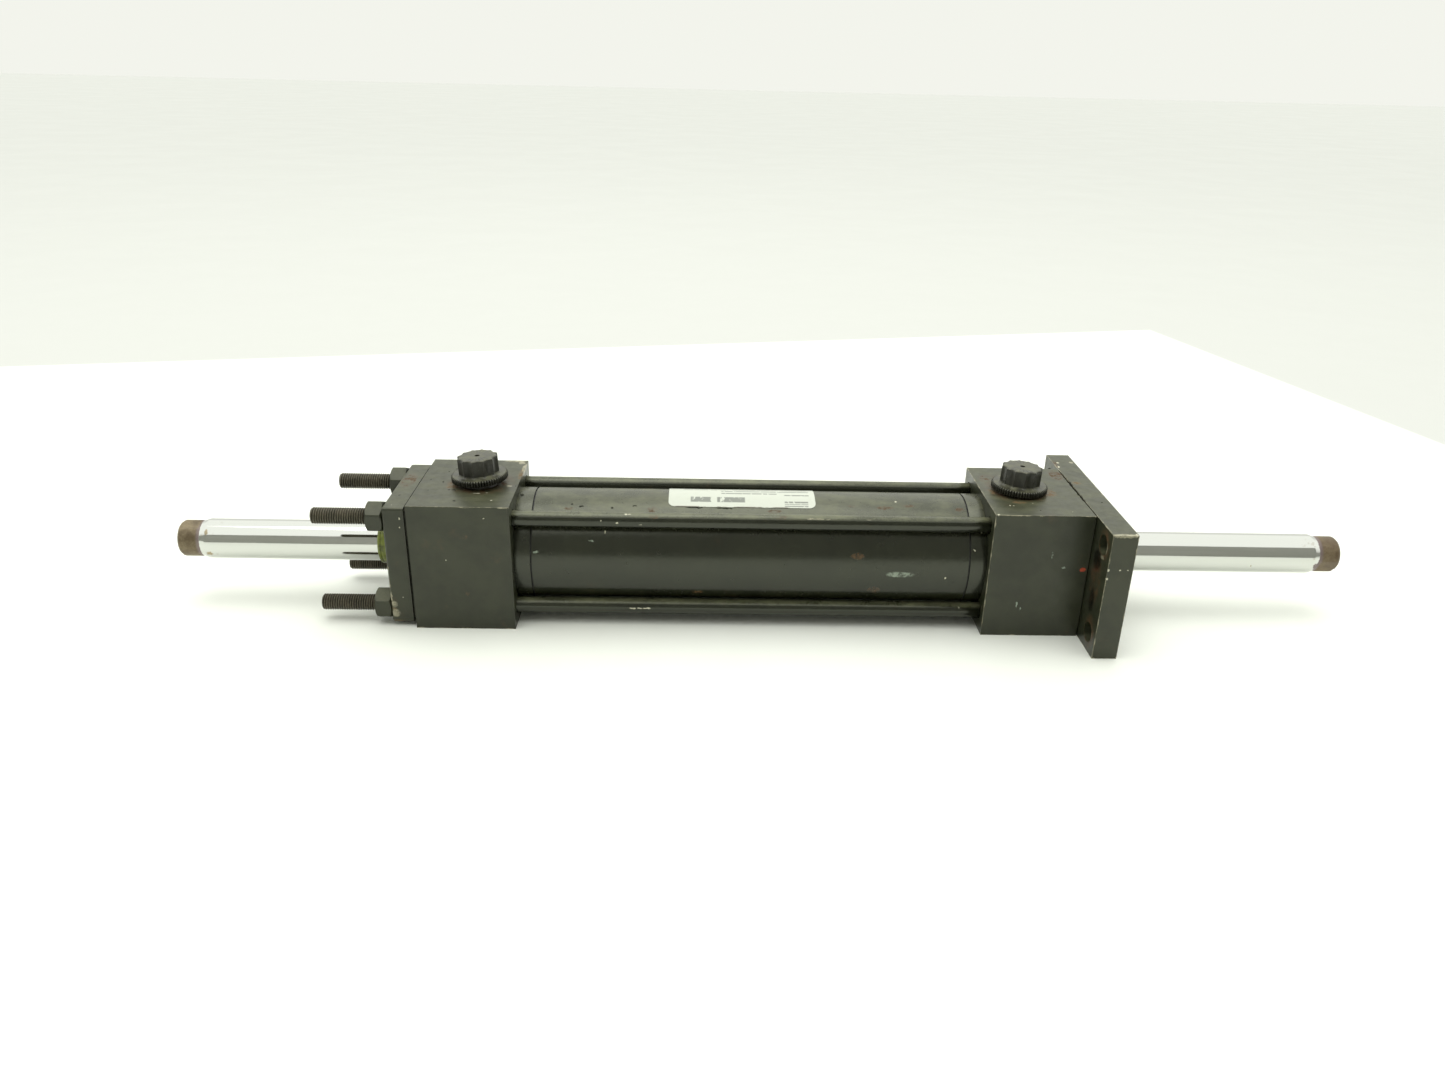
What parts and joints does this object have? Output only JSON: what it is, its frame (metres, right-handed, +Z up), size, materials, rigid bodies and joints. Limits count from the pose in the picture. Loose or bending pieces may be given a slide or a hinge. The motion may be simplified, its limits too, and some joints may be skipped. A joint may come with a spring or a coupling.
{
  "type": "pneumatic cylinder",
  "caption": "Square-head tie-rod air cylinder with a rod through both ends, a rectangular mounting flange on one head, extended tie rods on the other, and plugged top ports.",
  "frame": {"origin": "middle of the piston rod along X, the rod's plane in Y, and the plane that both heads stand on in Z", "axes": "+X along the rod, towards the mounting flange; +Z up, out of the ports; +Y away from the side with the upper and lower front tie rods"},
  "size_m": [0.4604, 0.0858, 0.0623],
  "materials": {
    "paint": "satin dark grey-green enamel, worn at the edges",
    "tie_steel": "dark finished threaded steel",
    "chrome": "ground and hard chromed, with bare steel ends",
    "bronze": "dull turned bronze",
    "aluminium": "turned",
    "rubber": "moulded nitrile",
    "wiper": "semi-gloss yellow-green polyurethane",
    "black_plastic": "moulded",
    "wear_plastic": "filled wear strip",
    "label": "printed film"
  },
  "bodies": {
    "cylinder_body": {"head_flange_end": "paint", "head_stud_end": "paint", "mounting_flange": "paint", "retainer_plate": "paint", "barrel_tube": "paint", "tie_rod_1": "tie_steel", "tie_rod_nut_1": "paint", "tie_rod_2": "tie_steel", "tie_rod_nut_2": "paint", "tie_rod_3": "tie_steel", "tie_rod_nut_3": "paint", "tie_rod_4": "tie_steel", "tie_rod_nut_4": "paint", "rod_gland_flange_end": "bronze", "gland_o_ring_flange_end": "rubber", "rod_seal_flange_end": "rubber", "tube_end_seal_flange_end": "rubber", "rod_wiper_flange_end": "wiper", "rod_gland_stud_end": "bronze", "gland_o_ring_stud_end": "rubber", "rod_seal_stud_end": "rubber", "tube_end_seal_stud_end": "rubber", "rod_wiper_stud_end": "wiper", "rating_label": "label"},
    "flange_end_plug": {"port_plug_flange_end": "black_plastic"},
    "stud_end_plug": {"port_plug_stud_end": "black_plastic"},
    "piston_seals": {"piston_seal_stud_end": "rubber", "piston_seal_flange_end": "rubber", "piston_wear_ring": "wear_plastic"},
    "piston_rod": {"piston_rod_stud_end": "chrome", "piston_rod_flange_end": "chrome", "piston": "aluminium", "piston_static_seal": "rubber"}
  },
  "joints": [
    {"name": "piston_slide", "type": "slide", "parent": "cylinder_body", "child": "piston_seals", "axis": [1, 0, 0], "range_m": [-0.08255, 0.06985]},
    {"name": "rod_spin", "type": "hinge", "parent": "piston_seals", "child": "piston_rod", "pos_m": [0, 0, 0.0254], "axis": [1, 0, 0], "continuous": true},
    {"name": "flange_end_plug_lift", "type": "slide", "parent": "cylinder_body", "child": "flange_end_plug", "axis": [0, 0, 1], "range_m": [0, 0.03]},
    {"name": "stud_end_plug_lift", "type": "slide", "parent": "cylinder_body", "child": "stud_end_plug", "axis": [0, 0, 1], "range_m": [0, 0.03]}
  ]
}
